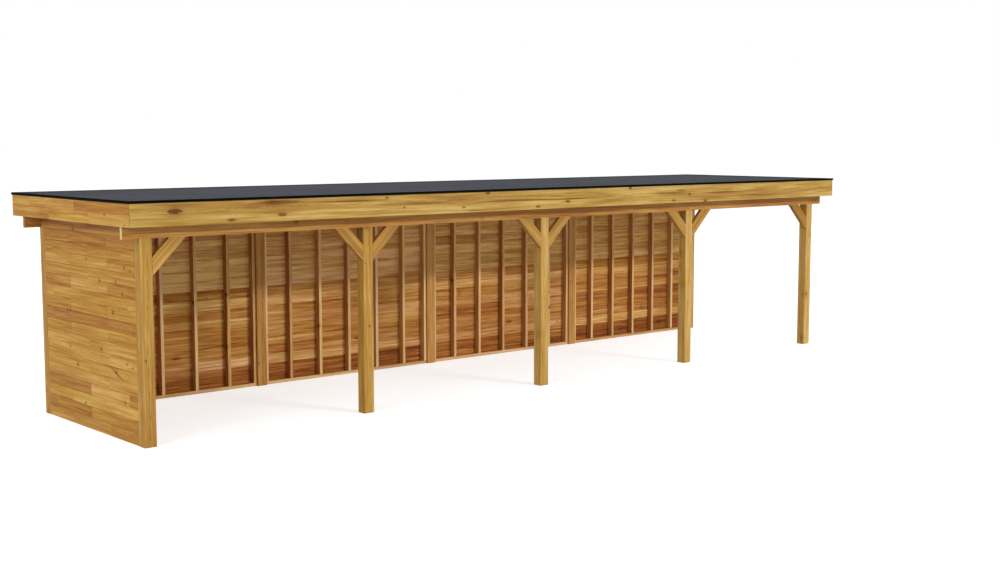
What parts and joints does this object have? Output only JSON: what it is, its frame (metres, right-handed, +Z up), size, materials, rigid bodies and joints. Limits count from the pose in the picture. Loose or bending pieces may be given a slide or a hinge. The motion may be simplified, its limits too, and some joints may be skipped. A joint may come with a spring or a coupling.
{
  "type": "freestanding timber veranda",
  "caption": "Long freestanding timber veranda with a flat felted roof, boarded back and left end, open front and right end.",
  "frame": {"origin": "middle of the roof outline, at ground level", "axes": "+X to the right along the open front, +Y towards the boarded back, +Z up; the front looks along -Y"},
  "size_m": [12.625, 3.22, 2.78],
  "materials": {
    "post_timber": "planed, unpainted",
    "beam_timber": "planed, unpainted",
    "brace_timber": "planed, unpainted",
    "roof_timber": "sawn",
    "fascia_timber": "planed, unpainted",
    "wall_boards": "planed outside, rough-sawn inside",
    "wall_frame": "sawn",
    "roof_felt": "matt mineral felt",
    "roof_trim": "black coated"
  },
  "bodies": {
    "root": {"front_post_1": "post_timber", "back_post_1": "post_timber", "front_post_2": "post_timber", "back_post_2": "post_timber", "front_post_3": "post_timber", "back_post_3": "post_timber", "front_post_4": "post_timber", "back_post_4": "post_timber", "front_post_5": "post_timber", "back_post_5": "post_timber", "front_beam": "beam_timber", "back_beam": "beam_timber", "left_beam": "beam_timber", "right_beam": "beam_timber", "brace_1_right": "brace_timber", "brace_2_left": "brace_timber", "brace_2_right": "brace_timber", "brace_3_left": "brace_timber", "brace_3_right": "brace_timber", "brace_4_left": "brace_timber", "brace_4_right": "brace_timber", "brace_5_left": "brace_timber", "roof_joists": "roof_timber", "roof_deck": "roof_timber", "roof_felt": "roof_felt", "front_fascia": "fascia_timber", "front_trim": "roof_trim", "back_fascia": "fascia_timber", "back_trim": "roof_trim", "left_fascia": "fascia_timber", "left_trim": "roof_trim", "right_fascia": "fascia_timber", "right_trim": "roof_trim", "back_wall_frame_1": "wall_frame", "back_wall_boards_1": "wall_boards", "back_wall_frame_2": "wall_frame", "back_wall_boards_2": "wall_boards", "back_wall_frame_3": "wall_frame", "back_wall_boards_3": "wall_boards", "back_wall_frame_4": "wall_frame", "back_wall_boards_4": "wall_boards", "left_wall_frame": "wall_frame", "left_wall_boards": "wall_boards"}
  },
  "joints": []
}
